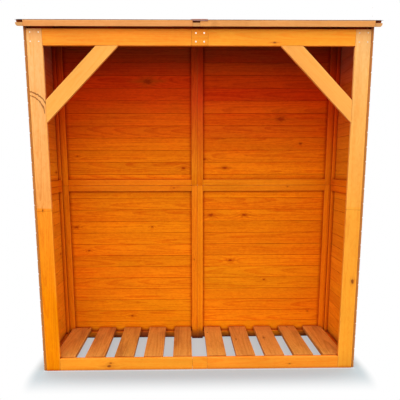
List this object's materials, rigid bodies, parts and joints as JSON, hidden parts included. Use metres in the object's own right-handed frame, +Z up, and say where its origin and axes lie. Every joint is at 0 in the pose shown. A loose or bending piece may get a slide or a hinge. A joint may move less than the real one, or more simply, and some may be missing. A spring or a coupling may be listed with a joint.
{
  "type": "log store",
  "caption": "Open-fronted timber log store with boarded back and sides on batten frames, slatted floor, corner braces and a felted pent roof that falls to the front.",
  "frame": {"origin": "on the ground, under the middle of the roof's outline", "axes": "+X to the right seen from the front, +Y from the open front to the back wall, +Z up"},
  "size_m": [1.9, 0.6022, 2.1192],
  "materials": {
    "frame_wood": "satin",
    "battens": "satin",
    "wall_boards": "satin",
    "floor_wood": "satin",
    "roof_boards": "satin",
    "roof_felt": "matte"
  },
  "bodies": {
    "root": {"back_boards_lower_left": "wall_boards", "back_boards_lower_right": "wall_boards", "back_boards_upper_left": "wall_boards", "back_boards_upper_right": "wall_boards", "back_rails_lower": "battens", "back_rails_upper": "battens", "back_stiles_lower_left": "battens", "back_stiles_lower_right": "battens", "back_stiles_upper_left": "battens", "back_stiles_upper_right": "battens", "brace_left": "frame_wood", "brace_right": "frame_wood", "floor_bearer_front": "floor_wood", "floor_bearer_rear": "floor_wood", "floor_slats_left": "floor_wood", "floor_slats_right": "floor_wood", "front_post_left": "frame_wood", "front_post_right": "frame_wood", "header_centre": "frame_wood", "header_left": "frame_wood", "header_rail": "frame_wood", "header_right": "frame_wood", "roof_battens_left": "battens", "roof_battens_right": "battens", "roof_deck_left": "roof_boards", "roof_deck_right": "roof_boards", "roof_fascia_left": "frame_wood", "roof_fascia_right": "frame_wood", "roof_felt_left": "roof_felt", "roof_felt_right": "roof_felt", "roof_joint_strip": "roof_felt", "roof_rear_batten_left": "battens", "roof_rear_batten_right": "battens", "side_boards_lower_left": "wall_boards", "side_boards_lower_right": "wall_boards", "side_boards_upper_left": "wall_boards", "side_boards_upper_right": "wall_boards", "side_rails_lower": "battens", "side_rails_upper": "battens", "side_stiles_lower": "battens", "side_stiles_upper": "battens", "sill_centre": "frame_wood", "sill_left": "frame_wood", "sill_right": "frame_wood"}
  },
  "joints": []
}
